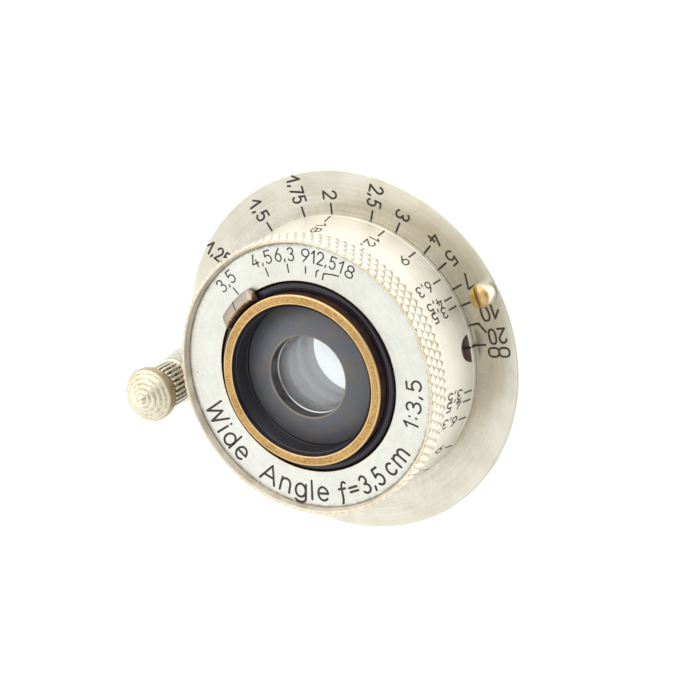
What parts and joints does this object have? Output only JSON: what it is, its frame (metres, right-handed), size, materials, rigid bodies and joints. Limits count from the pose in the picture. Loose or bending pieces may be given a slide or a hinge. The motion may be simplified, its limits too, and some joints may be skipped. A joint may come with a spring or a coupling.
{
  "type": "camera lens",
  "caption": "Compact nickel-plated screw-mount wide-angle lens with flange, engraved distance ring, infinity-lock focusing lever, knurled front ring and leaf iris.",
  "frame": {"origin": "on the lens axis at the seat plane, the flange's rear face that meets the camera", "axes": "+Z is the lens axis towards the subject, +X points at the infinity mark of the distance scale"},
  "size_m": [0.0526, 0.048, 0.022],
  "materials": {
    "nickel": "nickel-plated brass, satin, worn to brass on its edges",
    "worn_brass": "bare brass where the plating has worn off",
    "inner_brass": "machined brass, dulled",
    "black_lacquer": "glossy black lacquer on brass",
    "grey_lacquer": "dark grey satin lacquer on brass",
    "blackened_steel": "blackened spring steel",
    "steel": "bright steel",
    "glass": "polished uncoated optical glass"
  },
  "bodies": {
    "mount": {"scale_flange": "nickel", "screw_barrel": "inner_brass", "cam_guide_key_1": "steel", "cam_guide_key_2": "steel", "infinity_catch": "nickel", "catch_screw_1": "steel", "catch_screw_2": "steel", "near_stop_post": "nickel"},
    "focus_ring": {"index_ring": "nickel", "focus_lever": "nickel", "grip_sleeve": "nickel", "button_spring": "steel"},
    "lock_button": {"button_head": "nickel", "button_stem": "steel"},
    "optical_unit": {"helicoid_sleeve": "inner_brass", "drive_key_1": "steel", "drive_key_2": "steel", "drive_key_3": "steel", "depth_scale_ring": "nickel", "knurled_ring": "nickel", "face_plate": "nickel", "main_barrel": "inner_brass", "barrel_lock_ring": "inner_brass", "front_cell": "worn_brass", "front_retainer": "grey_lacquer", "front_element": "glass", "middle_cell": "grey_lacquer", "middle_element": "glass", "rear_cell": "grey_lacquer", "rear_inner_element": "glass", "rear_outer_element": "glass", "rear_retainer": "black_lacquer", "blade_base_ring": "blackened_steel", "blade_pivot_pin_1": "steel", "blade_pivot_pin_2": "steel", "blade_pivot_pin_3": "steel", "blade_pivot_pin_4": "steel", "blade_pivot_pin_5": "steel", "blade_pivot_pin_6": "steel"},
    "iris_ring": {"iris_setting_ring": "black_lacquer", "iris_tab": "nickel", "iris_drive_pin": "steel", "iris_cam_ring": "blackened_steel"},
    "rangefinder_cam": {"rangefinder_cam_ring": "inner_brass"},
    "blade_1": {"iris_blade_1": "blackened_steel"},
    "blade_2": {"iris_blade_2": "blackened_steel"},
    "blade_3": {"iris_blade_3": "blackened_steel"},
    "blade_4": {"iris_blade_4": "blackened_steel"},
    "blade_5": {"iris_blade_5": "blackened_steel"},
    "blade_6": {"iris_blade_6": "blackened_steel"}
  },
  "joints": [
    {"name": "focus_turn", "type": "hinge", "parent": "mount", "child": "focus_ring", "pos_m": [0, 0, 0], "axis": [0, 0, 1], "range_deg": [0, 178.2]},
    {"name": "unit_travel", "type": "slide", "parent": "focus_ring", "child": "optical_unit", "axis": [0, 0, 1], "range_m": [0, 0.00134]},
    {"name": "cam_travel", "type": "slide", "parent": "mount", "child": "rangefinder_cam", "axis": [0, 0, 1], "range_m": [0, 0.00282]},
    {"name": "aperture_turn", "type": "hinge", "parent": "optical_unit", "child": "iris_ring", "pos_m": [0, 0, 0.0127], "axis": [0, 0, 1], "range_deg": [-57, 0]},
    {"name": "lock_press", "type": "slide", "parent": "focus_ring", "child": "lock_button", "axis": [0, 0, -1], "range_m": [0, 0.00085], "stiffness_N_per_m": 800, "springref_m": -0.001, "deforming": ["button_spring"]},
    {"name": "blade_1_turn", "type": "hinge", "parent": "optical_unit", "child": "blade_1", "pos_m": [0.0084, 0, 0.0075], "axis": [0, 0, 1], "range_deg": [0, 30.6]},
    {"name": "blade_2_turn", "type": "hinge", "parent": "optical_unit", "child": "blade_2", "pos_m": [0.0042, 0.00727, 0.0075], "axis": [0, 0, 1], "range_deg": [0, 30.6]},
    {"name": "blade_3_turn", "type": "hinge", "parent": "optical_unit", "child": "blade_3", "pos_m": [-0.0042, 0.00727, 0.0075], "axis": [0, 0, 1], "range_deg": [0, 30.6]},
    {"name": "blade_4_turn", "type": "hinge", "parent": "optical_unit", "child": "blade_4", "pos_m": [-0.0084, 0, 0.0075], "axis": [0, 0, 1], "range_deg": [0, 30.6]},
    {"name": "blade_5_turn", "type": "hinge", "parent": "optical_unit", "child": "blade_5", "pos_m": [-0.0042, -0.00727, 0.0075], "axis": [0, 0, 1], "range_deg": [0, 30.6]},
    {"name": "blade_6_turn", "type": "hinge", "parent": "optical_unit", "child": "blade_6", "pos_m": [0.0042, -0.00727, 0.0075], "axis": [0, 0, 1], "range_deg": [0, 30.6]}
  ],
  "couplings": [
    {"joint": "focus_turn", "follows": "unit_travel", "rad_per_m": 2327.1},
    {"joint": "cam_travel", "follows": "unit_travel", "ratio": 2.1037},
    {"joint": "blade_1_turn", "follows": "aperture_turn", "ratio": -0.53509},
    {"joint": "blade_2_turn", "follows": "aperture_turn", "ratio": -0.53509},
    {"joint": "blade_3_turn", "follows": "aperture_turn", "ratio": -0.53509},
    {"joint": "blade_4_turn", "follows": "aperture_turn", "ratio": -0.53509},
    {"joint": "blade_5_turn", "follows": "aperture_turn", "ratio": -0.53509},
    {"joint": "blade_6_turn", "follows": "aperture_turn", "ratio": -0.53509}
  ]
}
